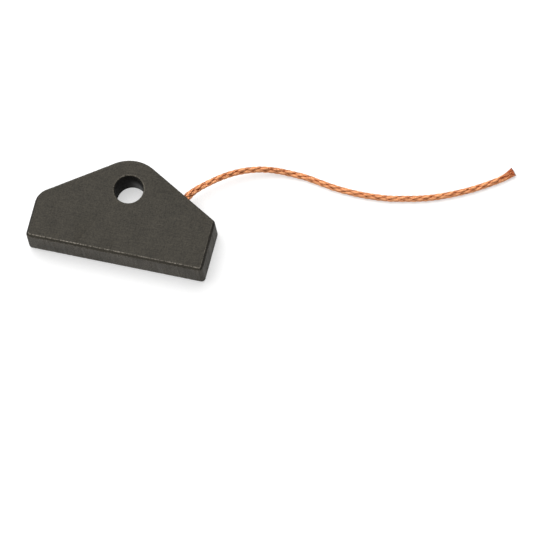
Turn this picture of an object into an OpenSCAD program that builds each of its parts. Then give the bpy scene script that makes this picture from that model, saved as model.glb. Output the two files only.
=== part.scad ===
// Carbon brush for a small current collector.
// A bevelled carbon plate turns on a pin through its pivot hole and rubs along its straight
// contact face. A stranded copper lead is tamped into a hole drilled in the right slanted edge.
// Millimetres. The plate lies flat: X runs along the contact face, which looks towards -Y,
// and Z is the thickness. The origin is under the middle of the plate, on its lower face.

/* [Carbon plate] */
// Length of the contact face, end to end
contact_length = 40; // [34:0.5:60]
// Thickness of the plate
plate_thickness = 7; // [5:0.1:10]
// Height of the straight left end, from the contact face to its shoulder
left_end = 8.4; // [6:0.1:10]
// Height of the straight right end, from the contact face to its shoulder
right_end = 11.3; // [8:0.1:13]
// Radius of the left shoulder
left_shoulder_r = 4; // [1.5:0.1:5]
// Radius of the right shoulder
right_shoulder_r = 1.2; // [1:0.1:5]
// Radius of the two corners at the contact face
corner_r = 0.9; // [0.7:0.1:3]
// Width of the bevel round the edges of both faces
edge_bevel = 0.45; // [0.2:0.05:0.6]

/* [Pivot lug] */
// Distance of the lug's centre from the left end
lug_x = 19.5; // [17:0.5:23]
// Height of the lug's centre above the contact face
lug_y = 14.25; // [13:0.25:20]
// Radius of the rounded lug
lug_r = 8.1; // [6:0.1:9]
// Height of the pivot hole above the lug's centre
pivot_rise = 1.1; // [0:0.1:2]
// Diameter of the pivot hole
pivot_d = 6.5; // [4:0.1:8]
// Width of the bevel at both mouths of the pivot hole
pivot_bevel = 0.2; // [0.1:0.05:0.5]

/* [Copper lead] */
// Diameter of the stranded lead
lead_d = 1.25; // [0.8:0.05:2]
// Length of lead held in its hole
lead_grip = 6.5; // [4:0.5:8]
// Diameter of the hole drilled for the lead
socket_d = 3.2; // [2.6:0.1:3.6]
// Depth of that hole, without its drill point
socket_depth = 7.5; // [5:0.5:9]
// Depth of the tamped plug's face below the slanted edge
plug_recess = 0.3; // [0.1:0.1:1]

/* [Hidden] */
$fn = 96;
drill_point_angle = 118;
cut_margin = 0.2;                 // how far a cutting tool runs past a face
table_clearance = 0.05;           // from the lead's lowest face to the table
plate_height = lug_y + lug_r;

// The outline is a band round five discs, listed anticlockwise from the front left corner:
// [x, y, radius], measured from the left end and the contact face.
discs = [
    [corner_r, corner_r, corner_r],
    [contact_length - corner_r, corner_r, corner_r],
    [contact_length - right_shoulder_r, right_end, right_shoulder_r],
    [lug_x, lug_y, lug_r],
    [left_shoulder_r, left_end, left_shoulder_r],
];
pivot_y = lug_y + pivot_rise;

function next(i) = (i + 1) % len(discs);
function previous(i) = (i + len(discs) - 1) % len(discs);
function along(angle) = [cos(angle), sin(angle)];

// Direction in which the straight edge between disc i and the next one looks
function edge_normal(i) =
    let (a = discs[i], b = discs[next(i)], step = [b.x - a.x, b.y - a.y])
    atan2(step.y, step.x) - acos((a[2] - b[2]) / norm(step));

// Where that edge leaves disc i, and where it meets the next disc
function touch(i, normal) = [discs[i].x, discs[i].y] + discs[i][2] * along(normal);
function edge_start(i) = touch(i, edge_normal(i));
function edge_end(i) = touch(next(i), edge_normal(i));

// The lead leaves the middle of the slanted edge between the right shoulder and the lug.
slant = 2;
socket_angle = edge_normal(slant);
socket_mouth = (edge_start(slant) + edge_end(slant)) / 2 - [contact_length, plate_height] / 2;
socket_z = plate_thickness / 2;
drill_point = socket_d / 2 / tan(drill_point_angle / 2);
lead_start = 2;                   // straight stretch of the lead outside the socket
lead_sides = 8;
lead_section = [for (k = [0:lead_sides - 1]) lead_d / 2 * along(360 * k / lead_sides)];

// Free run of the lead beyond its straight start: [x, y] from the socket's mouth, and the
// share that is left of the drop from the socket's height to the table.
LEAD_RUN = [
    [2.3, 3.3, 1], [3.9, 4.8, 0.97], [6.3, 6.9, 0.87], [9, 8.8, 0.73], [11.9, 10.3, 0.55],
    [14.9, 11.3, 0.38], [17.9, 11.8, 0.21], [21, 11.9, 0.08], [24.2, 11.8, 0.01],
    [27.3, 11.3, 0], [30.5, 10.8, 0], [33.7, 10.5, 0], [36.9, 10.4, 0], [40, 10.5, 0],
    [43.2, 10.8, 0], [46.3, 11.4, 0], [49.4, 12.1, 0], [52.4, 13, 0], [55.4, 14.2, 0],
    [58.2, 15.5, 0], [61, 17, 0], [63.7, 18.7, 0], [66.3, 20.5, 0], [68.8, 22.7, 0],
];

lead_rest_z = lead_d / 2 + table_clearance;
function run_point(p) = [
    socket_mouth.x + p.x,
    socket_mouth.y + p.y,
    lead_rest_z + p.z * (socket_z - lead_rest_z)
];
function socket_point(depth) =
    let (p = socket_mouth - depth * along(socket_angle)) [p.x, p.y, socket_z];
lead_path = [
    socket_point(lead_grip),
    socket_point(lead_grip / 2),
    socket_point(0),
    socket_point(-lead_start),
    for (p = LEAD_RUN) run_point(p)
];

// The lead is swept as rings of lead_sides points, square to the path.
function unit(v) = v / norm(v);
function heading(i) =
    unit(lead_path[min(i + 1, len(lead_path) - 1)] - lead_path[max(i - 1, 0)]);
function ring(i) =
    let (ahead = heading(i), side = unit(cross([0, 0, 1], ahead)), up = cross(ahead, side))
    [for (p = lead_section) lead_path[i] + p.x * side + p.y * up];

// Everything below is drawn from the left end and the contact face, then centred.
module centred() {
    translate([-contact_length / 2, -plate_height / 2, 0]) children();
}

module outline() {
    for (d = discs) translate([d.x, d.y]) circle(r = d[2]);
    polygon([for (i = [0:len(discs) - 1]) each [edge_start(i), edge_end(i)]]);
}

// Section of the cutter that bevels an upper edge at distance r from its centre
module bevel_section(r) {
    reach = edge_bevel + cut_margin;
    translate([r, plate_thickness])
        polygon([[-reach, cut_margin], [cut_margin, cut_margin], [cut_margin, -reach]]);
}

module round_bevel(i) {
    from = edge_normal(previous(i));
    turn = (edge_normal(i) - from + 720) % 360;
    translate([discs[i].x, discs[i].y, 0])
        rotate(from)
            rotate_extrude(angle = turn) bevel_section(discs[i][2]);
}

module straight_bevel(i) {
    start = edge_start(i);
    run = norm(edge_end(i) - start);
    translate([start.x, start.y, 0])
        rotate([90, 0, edge_normal(i)])
            translate([0, 0, -run - cut_margin])
                linear_extrude(run + 2 * cut_margin) bevel_section(0);
}

module upper_bevels() {
    for (i = [0:len(discs) - 1]) {
        round_bevel(i);
        straight_bevel(i);
    }
}

// Acts on its children and on their image in the plate's middle plane
module both_faces() {
    children();
    translate([0, 0, plate_thickness]) mirror([0, 0, 1]) children();
}

module pivot_hole() {
    translate([lug_x, pivot_y, -cut_margin])
        cylinder(d = pivot_d, h = plate_thickness + 2 * cut_margin);
    reach = pivot_bevel + cut_margin;
    both_faces()
        translate([lug_x, pivot_y, plate_thickness - pivot_bevel])
            cylinder(d1 = pivot_d, d2 = pivot_d + 2 * reach, h = reach);
}

// Turns its children so that Z runs into the plate along the drilled hole, with Y upwards
module in_socket() {
    translate([socket_mouth.x, socket_mouth.y, socket_z])
        rotate([90, 0, socket_angle - 90]) children();
}

// The drilled hole, from a depth below the slanted edge down to its drill point
module bore_from(depth) {
    translate([0, 0, depth]) cylinder(d = socket_d, h = socket_depth - depth);
    translate([0, 0, socket_depth]) cylinder(d1 = socket_d, d2 = 0, h = drill_point);
}

// The bevelled carbon plate with its pivot hole and the hole drilled for the lead
module carbon_block() {
    color([0.29, 0.28, 0.26])
        difference() {
            centred()
                difference() {
                    linear_extrude(plate_thickness) outline();
                    both_faces() upper_bevels();
                    pivot_hole();
                }
            in_socket() bore_from(-cut_margin);
        }
}

// Metal powder tamped round the lead, filling the drilled hole
module tamping_plug() {
    color([0.42, 0.28, 0.2])
        in_socket()
            difference() {
                bore_from(plug_recess);
                linear_extrude(lead_grip) polygon(lead_section);
            }
}

// Plain tube in place of the stranded lead
module copper_lead() {
    rings = len(lead_path);
    last = (rings - 1) * lead_sides;
    points = [for (i = [0:rings - 1]) each ring(i)];
    walls = [
        for (i = [0:rings - 2], k = [0:lead_sides - 1])
            let (a = i * lead_sides, b = (k + 1) % lead_sides)
            [a + k, a + b, a + lead_sides + b, a + lead_sides + k]
    ];
    color([0.76, 0.42, 0.25])
        polyhedron(points, [
            [for (k = [lead_sides - 1:-1:0]) k],
            each walls,
            [for (k = [0:lead_sides - 1]) last + k]
        ]);
}

carbon_block();
tamping_plug();
copper_lead();
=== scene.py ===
"""Looks of a carbon brush: a bevelled carbon plate with a pivot hole and a braided copper lead."""

import math

import bmesh
import bpy
import numpy as np
from mathutils import Matrix, Vector, noise


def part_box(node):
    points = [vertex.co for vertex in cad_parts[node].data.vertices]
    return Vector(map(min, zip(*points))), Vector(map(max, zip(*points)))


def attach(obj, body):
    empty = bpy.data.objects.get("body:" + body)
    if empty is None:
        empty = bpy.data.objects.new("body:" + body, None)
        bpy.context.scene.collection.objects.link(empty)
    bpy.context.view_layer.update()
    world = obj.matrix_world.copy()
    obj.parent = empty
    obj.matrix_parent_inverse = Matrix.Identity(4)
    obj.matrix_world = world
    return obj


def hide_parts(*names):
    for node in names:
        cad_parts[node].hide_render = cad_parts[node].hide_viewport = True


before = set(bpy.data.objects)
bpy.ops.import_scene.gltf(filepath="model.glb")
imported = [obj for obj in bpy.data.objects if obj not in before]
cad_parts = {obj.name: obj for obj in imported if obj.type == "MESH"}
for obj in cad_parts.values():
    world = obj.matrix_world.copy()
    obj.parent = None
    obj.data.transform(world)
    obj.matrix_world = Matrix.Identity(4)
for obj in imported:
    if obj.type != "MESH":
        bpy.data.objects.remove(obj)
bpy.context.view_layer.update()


# ---------------------------------------------------------------------------------------------
# Carbon plate. Graphite powder pressed to a block and ground to its outline: a straight contact
# face, two ends of different height and two slanted edges that run into a round lug. The edges
# of both faces are bevelled, and handling has worn their arrises and crumbled them a little; the
# worn arrises also carry a painted highlight, and the bevels of the ends carry painted shade.
mm = 0.001
same_place = 0.001 * mm           # points closer than this are one
plate_low, plate_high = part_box("carbon_block")
plate_middle = (plate_low + plate_high) / 2
plate_thickness = plate_high.z - plate_low.z
front_corner_r = 0.9 * mm
right_shoulder_r = 1.2 * mm
left_shoulder_r = 4.0 * mm
lug_r = 8.1 * mm
right_end_height = 11.3 * mm
left_end_height = 8.4 * mm
lug_from_left = 19.5 * mm
lug_height = 14.25 * mm
outline_step = 0.16 * mm

edge_bevel = 0.5 * mm
arris_round = 0.1 * mm
arris_border = 0.06 * mm          # keeps the faces flat beside a worn arris
crumbled = 0.09 * mm              # deepest nick in an arris
crumb_size = 0.45 * mm
crumb_finer = 2.3                 # smaller crumbs lie among the large ones
crumb_least = 0.1                 # noise below this leaves the arris whole
contact_wear_and_light = 0.25               # how far the contact face is burnished and painted lighter, as painted light
arris_wear_and_sheen = 0.08                 # and the arrises' wear and painted highlight: most of them, the right end's, the front ones
right_arris_wear_and_sheen = 0.3
front_arris_wear_and_sheen = 0.85
lower_arris_share = 0.4           # wear and painted highlight of a bevel's lower arris against its upper one

pivot_rise = 1.1 * mm
pivot_r = 3.25 * mm
pivot_bevel = 0.2 * mm
# the pivot hole's rim carries wear and a painted highlight
pivot_rim_wear_and_sheen = 0.6
pivot_wall_wear_and_sheen = 0.1
pin_polish_angle = math.radians(75)   # the side on which the pin has rubbed
pin_polish_falloff = 6            # how fast the polish fades round the wall
socket_r = 1.6 * mm
socket_depth = 7.5 * mm
drill_point_angle = math.radians(118)
drill_point = socket_r / math.tan(drill_point_angle / 2)

plate_discs = [
    (Vector((plate_low.x + front_corner_r, plate_low.y + front_corner_r, 0)), front_corner_r),
    (Vector((plate_high.x - front_corner_r, plate_low.y + front_corner_r, 0)), front_corner_r),
    (Vector((plate_high.x - right_shoulder_r, plate_low.y + right_end_height, 0)), right_shoulder_r),
    (Vector((plate_low.x + lug_from_left, plate_low.y + lug_height, 0)), lug_r),
    (Vector((plate_low.x + left_shoulder_r, plate_low.y + left_end_height, 0)), left_shoulder_r),
]


def edge_angle(disc, following):
    """Direction in which the straight edge from one disc to the following one looks."""
    (centre, radius), (next_centre, next_radius) = disc, following
    step = next_centre - centre
    return math.atan2(step.y, step.x) - math.acos((radius - next_radius) / step.length)


def towards(angle):
    """Flat direction of length 1 at an angle from X."""
    return Vector((math.cos(angle), math.sin(angle), 0))


# The outline is spun disc by disc, joined by straight edges, filled and raised.
plate = bmesh.new()
wear_and_sheen = plate.verts.layers.float.new("wear_and_sheen")
bevel_shade = plate.verts.layers.float.new("bevel_shade")
last = first = None
for i, (centre, radius) in enumerate(plate_discs):
    arriving = edge_angle(plate_discs[i - 1], plate_discs[i])
    leaving = edge_angle(plate_discs[i], plate_discs[(i + 1) % len(plate_discs)])
    turn = (leaving - arriving) % (2 * math.pi)
    start = plate.verts.new(centre + radius * towards(arriving))
    arc = bmesh.ops.spin(
        plate, geom=[start], cent=centre, axis=(0, 0, 1), angle=turn,
        steps=max(12, round(radius * turn / outline_step)), space=Matrix(),
    )
    if last:
        plate.edges.new((last, start))
    first = first or start
    last = arc["geom_last"][0]
plate.edges.new((last, first))
for edge in [e for e in plate.edges if e.calc_length() > 2 * outline_step]:
    cuts = round(edge.calc_length() / outline_step) - 1
    bmesh.ops.subdivide_edges(plate, edges=[edge], cuts=cuts)
bmesh.ops.contextual_create(plate, geom=plate.edges[:])
raised = bmesh.ops.extrude_face_region(plate, geom=plate.faces[:], use_keep_orig=True)["geom"]
raised_verts = [v for v in raised if isinstance(v, bmesh.types.BMVert)]
bmesh.ops.translate(plate, verts=raised_verts, vec=(0, 0, plate_thickness))
bmesh.ops.recalc_face_normals(plate, faces=plate.faces[:])


def bevel(solid, degrees, width, segments):
    """Bevel the edges where the surface turns by more than so many degrees."""
    sharp = [
        e for e in solid.edges if e.is_manifold and e.calc_face_angle() > math.radians(degrees)
    ]
    return bmesh.ops.bevel(
        solid, geom=sharp, offset=width, offset_type="OFFSET", segments=segments,
        profile=0.5, affect="EDGES", material=-1,
    )["faces"]


bevel(plate, 60, edge_bevel, 1)
arris_faces = set(bevel(plate, 30, arris_round, 2))
bmesh.ops.inset_region(
    plate, faces=[f for f in plate.faces if f not in arris_faces], thickness=arris_border,
    use_boundary=True, use_even_offset=True,
)
plate.normal_update()


def below_face(vert):
    """Depth of a point below the nearer of the plate's two faces."""
    return plate_thickness / 2 - abs(vert.co.z - plate_middle.z)


# The contact face is burnished a little and painted lighter, as painted light, and the bevels of the
# two ends are painted darker, as painted shade. The arrises are worn and carry a painted highlight,
# strongest along the front and next to the two faces, and have small nicks.
for vert in plate.verts:
    vert[wear_and_sheen] = contact_wear_and_light if vert.co.y < plate_low.y + same_place else 0.0
    # painted shade: the bevels of the two ends are coloured darker
    in_bevel = same_place < below_face(vert) < edge_bevel - same_place
    at_end = abs(vert.co.x) > plate_high.x - edge_bevel
    vert[bevel_shade] = 1.0 if in_bevel and at_end else 0.0
for vert in {v for f in arris_faces for v in f.verts}:
    wear_and_sheen_here = arris_wear_and_sheen
    if vert.co.x > plate_high.x - 2 * edge_bevel:
        wear_and_sheen_here = right_arris_wear_and_sheen
    if vert.co.y < plate_low.y + 2 * edge_bevel:
        wear_and_sheen_here = front_arris_wear_and_sheen
    vert[wear_and_sheen] = wear_and_sheen_here * max(lower_arris_share, 1 - below_face(vert) / arris_round)
    nick = noise.noise(vert.co / crumb_size)
    nick += 0.5 * noise.noise(vert.co / crumb_size * crumb_finer)
    vert.co -= vert.normal * crumbled * max(0.0, nick - crumb_least)

# The two faces, which alone have over a hundred corners, and the slanted edge that holds the
# lead are opened for their holes. Each is then filled up to its hole's rim.
shoulder, lug = plate_discs[2], plate_discs[3]
socket_angle = edge_angle(shoulder, lug)
socket_out = towards(socket_angle)
socket_mouth = (shoulder[0] + lug[0] + socket_out * (shoulder[1] + lug[1])) / 2
socket_mouth.z = plate_low.z + plate_thickness / 2
pivot_mouth = Vector((lug[0].x, lug[0].y + pivot_rise, plate_high.z))
half_edge = plate_thickness / 2 - edge_bevel - arris_round - arris_border


def drill(solid, mouth, axis, profile, cleared):
    """Open flat faces and spin a hole's wall from [radius, depth, wear and painted highlight] points.
    """
    bmesh.ops.delete(solid, geom=cleared, context="FACES")
    faces_before = set(solid.faces)
    across = axis.orthogonal().normalized()
    line = [solid.verts.new(mouth + across * radius + axis * depth) for radius, depth, wear_and_sheen_level in profile]
    for vert, (radius, depth, wear_and_sheen_level) in zip(line, profile):
        vert[wear_and_sheen] = wear_and_sheen_level
    drawn = [solid.edges.new(pair) for pair in zip(line, line[1:])]
    bmesh.ops.spin(
        solid, geom=line + drawn, cent=mouth, axis=axis, angle=2 * math.pi, steps=96,
        use_merge=True, space=Matrix(),
    )
    for face in set(solid.faces) - faces_before:
        face.normal_update()
        along_axis = abs(face.normal.dot(axis)) < 0.1
        face.material_index = 1 if along_axis else 0


drill(
    plate, pivot_mouth, Vector((0, 0, -1)),
    [
        (pivot_r + pivot_bevel + arris_border, 0, 0),
        (pivot_r + pivot_bevel, 0, pivot_rim_wear_and_sheen),
        (pivot_r, pivot_bevel, pivot_wall_wear_and_sheen),
        (pivot_r, pivot_bevel + arris_border, 0),
        (pivot_r, plate_thickness / 3, 0),
        (pivot_r, plate_thickness * 2 / 3, 0),
        (pivot_r, plate_thickness - pivot_bevel - arris_border, 0),
        (pivot_r, plate_thickness - pivot_bevel, pivot_wall_wear_and_sheen),
        (pivot_r + pivot_bevel, plate_thickness, pivot_rim_wear_and_sheen),
        (pivot_r + pivot_bevel + arris_border, plate_thickness, 0),
    ],
    [f for f in plate.faces if len(f.verts) > 100],
)
# The pin has polished one side of its hole, in the lower half.
pin_side = towards(pin_polish_angle)
for vert in plate.verts:
    out = vert.co - pivot_mouth
    out.z = 0
    if abs(out.length - pivot_r) < same_place and vert.co.z < plate_middle.z:
        vert[wear_and_sheen] = max(0.0, out.normalized().dot(pin_side)) ** pin_polish_falloff
drill(
    plate, socket_mouth, -socket_out,
    [
        (socket_r + 2 * arris_border, 0, 0),
        (socket_r + arris_border, 0, 1),
        (socket_r, arris_border, 1),
        (socket_r, 2 * arris_border, 0),
        (socket_r, socket_depth, 0),
        (0, socket_depth + drill_point, 0),
    ],
    [
        f for f in plate.faces
        if f.normal.dot(socket_out) > 0.99999
        and abs(f.calc_center_median().z - socket_mouth.z) < half_edge
    ],
)
bmesh.ops.remove_doubles(plate, verts=plate.verts[:], dist=same_place)
upright = Vector((0, 0, 1))
for point, normal in ((plate_low, upright), (plate_high, upright), (socket_mouth, socket_out)):
    rims = [
        e for e in plate.edges
        if e.is_boundary and all(abs((v.co - point).dot(normal)) < same_place for v in e.verts)
    ]
    bmesh.ops.triangle_fill(plate, edges=rims, use_beauty=True)
bmesh.ops.recalc_face_normals(plate, faces=plate.faces[:])


class Shade:
    """A socket among a material's nodes. Arithmetic on it adds Math nodes."""

    def __init__(self, material, socket=None):
        self.material, self.tree, self.socket = material, material.node_tree, socket

    def node(self, kind, sockets, output=0, **settings):
        """Add a node: its settings first, then the values or links of its sockets."""
        made = self.tree.nodes.new("ShaderNode" + kind)
        for name, setting in settings.items():
            setattr(made, name, setting)
        for name, value in sockets.items():
            if isinstance(value, Shade):
                self.tree.links.new(value.socket, made.inputs[name])
            else:
                made.inputs[name].default_value = value
        return Shade(self.material, made.outputs[output] if made.outputs else None)

    def math(self, operation, *values):
        """Add a Math node on numbers or sockets."""
        return self.node("Math", dict(enumerate(values)), operation=operation)

    def __add__(self, other):
        return self.math("ADD", self, other)

    def __sub__(self, other):
        return self.math("SUBTRACT", self, other)

    def __rsub__(self, other):
        return self.math("SUBTRACT", other, self)

    def __mul__(self, other):
        return self.math("MULTIPLY", self, other)

    __radd__, __rmul__ = __add__, __mul__

    def place(self):
        """Where on the brush a point lies."""
        return self.node("TexCoord", {}, output="Object")

    def attribute(self, name):
        """A value that the mesh itself carries."""
        return self.node("Attribute", {}, output="Fac", attribute_name=name)

    def stretched(self, scale):
        """This place with a pattern on it drawn out where the scale is small."""
        return self.node("Mapping", {"Vector": self, "Scale": scale})

    def speckle(self, size, **sockets):
        """Noise at this place, with spots of about that size."""
        return self.node("TexNoise", {"Vector": self, "Scale": 1 / size, **sockets})

    def between(self, low, high):
        """0 where the value is low, 1 where it is high."""
        return self.node("MapRange", {"Value": self, "From Min": low, "From Max": high})

    def colour(self, low, high):
        """Mix two colours by a mask; either may be a socket."""
        return self.node("Mix", {0: self, 6: low, 7: high}, output=2, data_type="RGBA")

    def raised(self, strength, distance):
        """Normals of a surface that stands up by this much."""
        return self.node("Bump", {"Height": self, "Strength": strength, "Distance": distance})

    def finish(self, sockets):
        """Give the material its one shader."""
        self.node("OutputMaterial", {"Surface": self.node("BsdfPrincipled", sockets)})


def new_material(name):
    material = bpy.data.materials.new(name)
    material.use_nodes = True
    material.node_tree.nodes.clear()
    return Shade(material)


# Ground graphite: a fine grain, soft clouds, faint marks of the grinding both ways and small
# pores. Wear and a painted highlight show as paler spots, gathered by a larger noise into patches
# and fainter between them.
ground_dark = (0.012, 0.0105, 0.0075, 1)
ground_pale = (0.064, 0.056, 0.041, 1)
# pale colour of wear and of painted highlight
burnish_and_sheen = (0.42, 0.38, 0.32, 1)
grain_size = 0.3 * mm
grain_depth = 1.6
cloud_size = 4 * mm
cloud_depth = 0.35
mark_size = 0.28 * mm
marks_along_x = ((0.06, 1, 1), 0.55)     # how they are drawn out, and their depth
marks_along_y = ((1, 0.12, 1), 0.4)
pore_size = 0.5 * mm
pore_depth = 0.35
bevel_shade_depth = 0.45                 # how much darker the ends' bevels are painted, as painted shade
sheen_spot_size = 0.32 * mm
sheen_patch_size = 5 * mm
sheen_between_patches = 0.3                   # wear and painted highlight left between the patches

graphite = new_material("ground_graphite")
place = graphite.place()
grain = place.speckle(grain_size, Detail=4.0, Roughness=0.6)
cloud = place.speckle(cloud_size, Detail=3.0)
tone = (grain - 0.5) * grain_depth + (cloud - 0.5) * cloud_depth + 0.5
for scale, depth in (marks_along_x, marks_along_y):
    marks = place.stretched(scale).speckle(mark_size, Detail=2.0)
    tone = tone + (marks - 0.5) * depth
pores = place.speckle(pore_size, Detail=1.0).between(0.72, 0.78)
tone = tone - pores * pore_depth
# paler wear with a painted highlight on the arrises and the pivot rim, and painted light on the
# contact face
wear_and_sheen_level = graphite.attribute("wear_and_sheen")
spots = place.speckle(sheen_spot_size, Detail=3.0).between(0.38, 0.66)
sheen_patches = place.speckle(sheen_patch_size, Detail=1.0).between(0.3, 0.62)
# painted shade on the bevels of the two ends
painted_bevel_shade = graphite.attribute("bevel_shade")
ground = (tone - painted_bevel_shade * bevel_shade_depth).between(0.0, 1.0).colour(ground_dark, ground_pale)
sheen_patchiness = sheen_patches * (1 - sheen_between_patches) + sheen_between_patches
graphite.finish({
    "Base Color": (wear_and_sheen_level * spots * sheen_patchiness).colour(ground, burnish_and_sheen),
    "Roughness": 0.65,
    "Specular IOR Level": 0.25,
    "Normal": grain.raised(0.35, 0.02 * mm),
})

# Walls of the holes: painted near black, as painted shade inside the holes, with faint drill scores;
# smoother where a pin has polished them
bore_shade_dark = (0.004, 0.0035, 0.0025, 1)
bore_shade_pale = (0.016, 0.013, 0.009, 1)
score_size = 0.3 * mm
bore_roughness = 0.85
polished_roughness = 0.4

bore = new_material("drilled_graphite")
scores = bore.place().stretched((0.3, 0.3, 1)).speckle(score_size, Detail=3.0)
polish = bore.attribute("wear_and_sheen")
bore.finish({
    "Base Color": scores.between(0.3, 0.7).colour(bore_shade_dark, bore_shade_pale),
    "Roughness": bore_roughness - polish * (bore_roughness - polished_roughness),
    "Specular IOR Level": 0.2,
    "Normal": scores.raised(0.5, 0.03 * mm),
})


def new_piece(name, solid, *materials):
    """Turn a bmesh into a smooth piece of the brush that rides on its one body."""
    mesh = bpy.data.meshes.new(name)
    solid.to_mesh(mesh)
    for finish in materials:
        mesh.materials.append(finish.material)
    mesh.polygons.foreach_set("use_smooth", [True] * len(mesh.polygons))
    piece = bpy.data.objects.new(name, mesh)
    bpy.context.scene.collection.objects.link(piece)
    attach(piece, "root")
    return piece


ground_plate = new_piece("ground_plate", plate, graphite, bore)
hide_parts("carbon_block")


# ---------------------------------------------------------------------------------------------
# Copper lead. A bare flexible of fine copper wires: a core of straight wires under a braid of
# eight flat bundles, four wound each way, that pass over and under each other. It leaves the
# slanted edge square to it, droops to the table and lies there; its cut end has splayed.
lead_d = 1.25 * mm
lead_grip = 6.5 * mm
lead_start = 2.0 * mm
table_clearance = 0.05 * mm
# Beyond its straight start: x and y from the socket's mouth in mm, and the share that is left
# of the drop from the socket's height to the table
lead_run = [
    (2.3, 3.3, 1), (3.9, 4.8, 0.97), (6.3, 6.9, 0.87), (9, 8.8, 0.73), (11.9, 10.3, 0.55),
    (14.9, 11.3, 0.38), (17.9, 11.8, 0.21), (21, 11.9, 0.08), (24.2, 11.8, 0.01),
    (27.3, 11.3, 0), (30.5, 10.8, 0), (33.7, 10.5, 0), (36.9, 10.4, 0), (40, 10.5, 0),
    (43.2, 10.8, 0), (46.3, 11.4, 0), (49.4, 12.1, 0), (52.4, 13, 0), (55.4, 14.2, 0),
    (58.2, 15.5, 0), (61, 17, 0), (63.7, 18.7, 0), (66.3, 20.5, 0), (68.8, 22.7, 0),
]

bundles_each_way = 4
wires_a_bundle = 9
wire_d = 0.08 * mm
braid_lay = 10.4 * mm             # one turn of a bundle
braid_r = 0.5 * mm                # middle of the woven layer
braid_broad = 1.06                # the soft braid lies a little flattened
braid_low = 0.9
braid_wave = 0.13 * mm            # how far a bundle rises and sinks at a crossing
bundle_width = 0.62 * mm
bundle_crown = 0.08 * mm          # how much a bundle's middle stands above its sides
core_wire_d = 0.13 * mm
core_layers = ((0, 1), (1, 6), (2, 12))  # wire diameters from the middle, and wires
core_twist = 0.7                  # turn of each layer against the one inside it
core_shade = 0.9                  # painted shade: the core lies deep under the braid
ring_spacing = 0.25 * mm          # between the points of a wire
neck_length = 3.0 * mm            # the braid is pushed open where it enters the plate
neck_swell = 0.28
splay_length = 4.0 * mm           # behind the cut the wires lie straighter and fan out
splay_width = 0.8
splay_shift = 0.3 * mm            # and lean to one side
splay_straight = 0.6
splay_shade = 0.4                 # the fan is painted darker than the braid
splay_curve = 1.5
ragged_end = 0.2 * mm             # the wires are cut to different lengths by up to this
bundle_sway = (0.05, 9 * mm)      # how far hand-fed wires drift, and over which length
wire_sway = (0.03, 4 * mm)
wire_lift = (0.012 * mm, 3 * mm)
core_sway = (0.1, 6 * mm)

copper_deep = (0.36, 0.057, 0.013, 1)
copper_high = (0.95, 0.48, 0.235, 1)
stain_size = 0.45 * mm
wire_contrast = 0.65              # how much one wire's tone differs from the next one's

lead_rest_z = lead_d / 2 + table_clearance
lead_points = [
    socket_mouth - socket_out * depth for depth in (lead_grip, lead_grip / 2, 0, -lead_start)
]
lead_points += [
    Vector((
        socket_mouth.x + x * mm,
        socket_mouth.y + y * mm,
        lead_rest_z + drop_left * (socket_mouth.z - lead_rest_z),
    ))
    for x, y, drop_left in lead_run
]


def smooth_route(points, spacing):
    """Evenly spaced places on a smooth curve through the points."""
    points = np.array(points)
    along = np.append(0, np.cumsum(np.linalg.norm(np.diff(points, axis=0), axis=1)))
    slope = np.gradient(points, along, axis=0)
    at = np.linspace(0, along[-1], round(along[-1] / spacing) + 1)
    i = np.clip(np.searchsorted(along, at) - 1, 0, len(points) - 2)
    span = (along[i + 1] - along[i])[:, None]
    u = ((at - along[i]) / span[:, 0])[:, None]
    return (
        points[i] * (1 + 2 * u) * (1 - u) ** 2
        + slope[i] * span * u * (1 - u) ** 2
        + points[i + 1] * u ** 2 * (3 - 2 * u)
        + slope[i + 1] * span * u ** 2 * (u - 1)
    )


# The wires stop one ring short of the route's end, which leaves room for their fan.
route = smooth_route(lead_points, ring_spacing)[:-1]
lead_length = float(np.sum(np.linalg.norm(np.diff(route, axis=0), axis=1)))
distance = np.linspace(0, lead_length, len(route))
ahead = np.gradient(route, axis=0)
ahead /= np.linalg.norm(ahead, axis=1)[:, None]
side = np.cross((0, 0, 1), ahead)
side /= np.linalg.norm(side, axis=1)[:, None]
up = np.cross(ahead, side)
# Along the lead: how far it has splayed, from 0 to 1 at the cut, how much its neck is swollen,
# and the length over which its bundles wind
splayed = np.clip((distance - lead_length + splay_length) / splay_length, 0, 1) ** splay_curve
swollen = 1 + neck_swell * np.exp(-(np.clip(distance - lead_grip, 0, None) / neck_length) ** 2)
laid = distance - splay_straight * splay_length * splayed
chance = np.random.default_rng(7)


def wander(size, wave):
    """A slow random drift along the lead, as hand-fed wires have."""
    phase = chance.uniform(0, 2 * math.pi, 3)
    rate = chance.uniform(0.6, 1.6, 3) / wave
    return size * sum(np.sin(distance * r * 2 * math.pi + p) for r, p in zip(rate, phase)) / 2


def lay_wire(turn, radius):
    """Places along one wire, from its angle round the lead and its distance from the middle."""
    sideways = np.cos(turn) * radius * swollen * braid_broad * (1 + splay_width * splayed)
    sideways += splay_shift * splayed
    upwards = np.sin(turn) * radius * swollen * braid_low
    places = route + sideways[:, None] * side + upwards[:, None] * up
    places[-1] -= ahead[-1] * chance.uniform(0, ragged_end)
    return places


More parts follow.
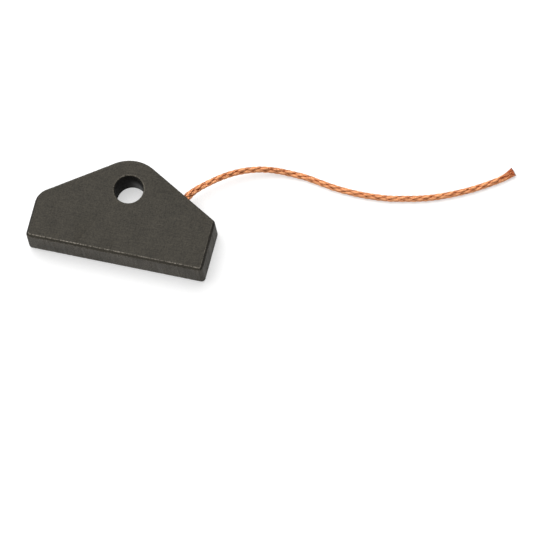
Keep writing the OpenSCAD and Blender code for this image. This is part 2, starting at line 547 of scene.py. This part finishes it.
def draw_wires(name, diameter, wires, finish):
    """One mesh of round wires with cut ends, from each wire's places, depth in the braid, which paints
    shade, and tone.
    """
    drawing = bpy.data.curves.new(name, "CURVE")
    drawing.dimensions = "3D"
    drawing.bevel_depth = diameter / 2
    drawing.bevel_resolution = 1
    for places, sunk_in_shade, tone in wires:
        spline = drawing.splines.new("POLY")
        spline.points.add(len(places) - 1)
        spline.points.foreach_set("co", np.column_stack([places, np.ones(len(places))]).ravel())
    drawn = bpy.data.objects.new(name, drawing)
    bpy.context.scene.collection.objects.link(drawn)
    evaluated = drawn.evaluated_get(bpy.context.evaluated_depsgraph_get())
    tubes = bpy.data.meshes.new_from_object(evaluated)
    bpy.data.objects.remove(drawn)
    around = len(tubes.vertices) // (len(wires) * len(distance))
    for label, values in (
        ("sunk_in_shade", [sunk_in_shade for places, sunk_in_shade, tone in wires]),
        ("tone", [np.full(len(distance), tone) for places, sunk_in_shade, tone in wires]),
    ):
        values = np.repeat(np.ravel(values), around).astype(np.float32)
        tubes.attributes.new(label, "FLOAT", "POINT").data.foreach_set("value", values)
    capped = bmesh.new()
    capped.from_mesh(tubes)
    bmesh.ops.holes_fill(capped, edges=[e for e in capped.edges if e.is_boundary])
    bmesh.ops.recalc_face_normals(capped, faces=capped.faces[:])
    piece = new_piece(name, capped, finish)
    return piece


# Copper, brighter where a bundle rides on top and darker, reddish brown where it dives below another:
# painted shade in the hollows, with a little tarnish there
copper = new_material("braided_copper")
stain = copper.place().speckle(stain_size, Detail=3.0)
bright = 1 - copper.attribute("sunk_in_shade")
bright = bright + (copper.attribute("tone") - 0.5) * wire_contrast + (stain - 0.5)
copper.finish({
    "Base Color": bright.between(0.0, 1.0).colour(copper_deep, copper_high),
    "Metallic": 1.0,
    "Roughness": 0.38,
})

# Bundles of one hand rise where those of the other hand sink, so that they weave.
braid = {1: [], -1: []}
for hand in braid:
    for bundle in range(bundles_each_way):
        bundle_drift = wander(*bundle_sway)
        for wire in range(wires_a_bundle):
            across = 2 * wire / (wires_a_bundle - 1) - 1
            spread = across * (bundle_width - wire_d) / 2 / braid_r
            spread = spread + bundle_drift + wander(*wire_sway)
            turn = hand * 2 * math.pi * laid / braid_lay + 2 * math.pi * bundle / bundles_each_way
            turn = turn + spread
            crossing = 2 * bundles_each_way * math.pi * laid / braid_lay + 2 * hand * spread
            radius = (
                braid_r
                + (1 - splayed) * hand * braid_wave * np.cos(crossing)
                + bundle_crown * (0.5 - across ** 2)
                + wander(*wire_lift)
            )
            # how deep a wire lies at a crossing, which paints shade on it
            sunk_in_shade = np.clip((braid_r + braid_wave - radius) / braid_wave / 2, 0, 1)
            sunk_in_shade = sunk_in_shade + splay_shade * splayed
            braid[hand].append((lay_wire(turn, radius), sunk_in_shade, chance.uniform()))
core = []
for layer, wires in core_layers:
    for wire in range(wires):
        turn = 2 * math.pi * wire / wires + core_twist * layer + wander(*core_sway)
        radius = np.full(len(distance), layer * core_wire_d)
        sunk_in_shade = np.full(len(distance), core_shade)
        core.append((lay_wire(turn, radius), sunk_in_shade, chance.uniform()))
lead = draw_wires("lead_wires_right_hand", wire_d, braid[1], copper)
left_hand = draw_wires("lead_wires_left_hand", wire_d, braid[-1], copper)
lead_core = draw_wires("lead_wires_core", core_wire_d, core, copper)
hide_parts("copper_lead")


# ---------------------------------------------------------------------------------------------
# Tamped plug. Copper and graphite powder, rammed round the lead in its drilled hole until it
# holds; its grainy face lies a little below the slanted edge.
plug_recess = 0.3 * mm
plug_clearance = 0.01 * mm
plug_r = socket_r - plug_clearance
face_rings = 20
powder_rise = 0.06 * mm
powder_lump = 0.16 * mm
powder_grain = 0.12 * mm
powder_dark = (0.05, 0.03, 0.022, 1)
powder_pale = (0.34, 0.16, 0.09, 1)

powder_plug = bmesh.new()
inwards = -socket_out
across = inwards.orthogonal().normalized()
outline = [(plug_r * ring / face_rings, plug_recess) for ring in range(face_rings + 1)]
outline += [
    (plug_r, plug_recess + 2 * arris_border),
    (plug_r, socket_depth),
    (0, socket_depth + drill_point),
]
line = [
    powder_plug.verts.new(socket_mouth + across * radius + inwards * depth)
    for radius, depth in outline
]
drawn = [powder_plug.edges.new(pair) for pair in zip(line, line[1:])]
bmesh.ops.spin(
    powder_plug, geom=line + drawn, cent=socket_mouth, axis=inwards, angle=2 * math.pi, steps=120,
    use_merge=True, space=Matrix(),
)
bmesh.ops.remove_doubles(powder_plug, verts=powder_plug.verts[:], dist=same_place)
for vert in powder_plug.verts:
    if (vert.co - socket_mouth).dot(inwards) < plug_recess + arris_border:
        vert.co -= inwards * powder_rise * noise.noise(vert.co / powder_lump)
bmesh.ops.recalc_face_normals(powder_plug, faces=powder_plug.faces[:])

powder = new_material("tamped_powder")
grains = powder.place().speckle(powder_grain, Detail=3.0)
powder.finish({
    "Base Color": grains.between(0.35, 0.65).colour(powder_dark, powder_pale),
    "Metallic": 0.4,
    "Roughness": 0.6,
    "Normal": grains.raised(0.6, 0.04 * mm),
})
tamped_face = new_piece("tamped_powder_plug", powder_plug, powder)
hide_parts("tamping_plug")


# ---------------------------------------------------------------------------------------------
# Table. A plain white sheet that shows white to the camera and in reflections, keeps the soft
# shadow of the brush and throws ordinary light back on it.
table_size = 8.0
table_white = (0.8, 0.8, 0.8, 1)
table_glow = 0.485
table_catch = (0.62, 0.62, 0.62, 1)      # the part of the white seen that a shadow can take

paper = new_material("white_sheet")
seen = paper.node("LightPath", {}, output="Is Camera Ray")
for other_ray in ("Is Glossy Ray", "Is Transmission Ray"):
    seen = seen.math("MAXIMUM", seen, paper.node("LightPath", {}, output=other_ray))
shadowed = paper.node("BsdfDiffuse", {"Color": seen.colour(table_white, table_catch)})
glow = paper.node("Emission", {"Color": (1, 1, 1, 1), "Strength": seen * table_glow})
paper.node("OutputMaterial", {"Surface": paper.node("AddShader", {0: shadowed, 1: glow})})
sheet = bmesh.new()
bmesh.ops.create_grid(sheet, x_segments=1, y_segments=1, size=table_size / 2)
sheet_mesh = bpy.data.meshes.new("table")
sheet.to_mesh(sheet_mesh)
sheet_mesh.materials.append(paper.material)
table = bpy.data.objects.new("table", sheet_mesh)
bpy.context.scene.collection.objects.link(table)


# ---------------------------------------------------------------------------------------------
# Light. Pale surroundings, and one large soft lamp high up behind the brush to the left, so that
# its shadow is short and soft and falls towards the front right.
surroundings_strength = 0.34
lamp_place = Vector((-0.55, 0.55, 1.6))
lamp_size = 2.2
lamp_power = 45.0

world = bpy.data.worlds.new("studio")
world.use_nodes = True
surroundings = world.node_tree.nodes["Background"].inputs
surroundings["Color"].default_value = (1, 1, 1, 1)
surroundings["Strength"].default_value = surroundings_strength
bpy.context.scene.world = world
lamp_data = bpy.data.lights.new("soft_lamp", "AREA")
lamp_data.size = lamp_size
lamp_data.energy = lamp_power
lamp = bpy.data.objects.new("soft_lamp", lamp_data)
bpy.context.scene.collection.objects.link(lamp)
lamp.visible_camera = False
lamp_aim = (-lamp_place).to_track_quat("-Z", "Y").to_matrix().to_4x4()
lamp.matrix_world = Matrix.Translation(lamp_place) @ lamp_aim
bpy.context.scene.view_settings.view_transform = "Standard"


# ---------------------------------------------------------------------------------------------
# Camera. A long lens looks down at the plate from its front right, a little tilted, so that the
# contact face runs down to the right and the lead leaves for the upper right corner.
camera_azimuth = math.radians(27.2)
camera_elevation = math.radians(66.7)
camera_tilt = math.radians(-13.9)
camera_distance = 3.0
camera_target = Vector((34.54, -6.06, 0)) * mm
camera_lens = 901

camera_back = Vector((
    math.sin(camera_azimuth) * math.cos(camera_elevation),
    -math.cos(camera_azimuth) * math.cos(camera_elevation),
    math.sin(camera_elevation),
))
camera_data = bpy.data.cameras.new("camera")
camera_data.lens = camera_lens
camera_data.sensor_width = 36
camera_data.clip_end = 10
camera = bpy.data.objects.new("camera", camera_data)
bpy.context.scene.collection.objects.link(camera)
camera.matrix_world = (
    Matrix.Translation(camera_target + camera_back * camera_distance)
    @ (-camera_back).to_track_quat("-Z", "Y").to_matrix().to_4x4()
    @ Matrix.Rotation(camera_tilt, 4, "Z")
)
bpy.context.scene.camera = camera
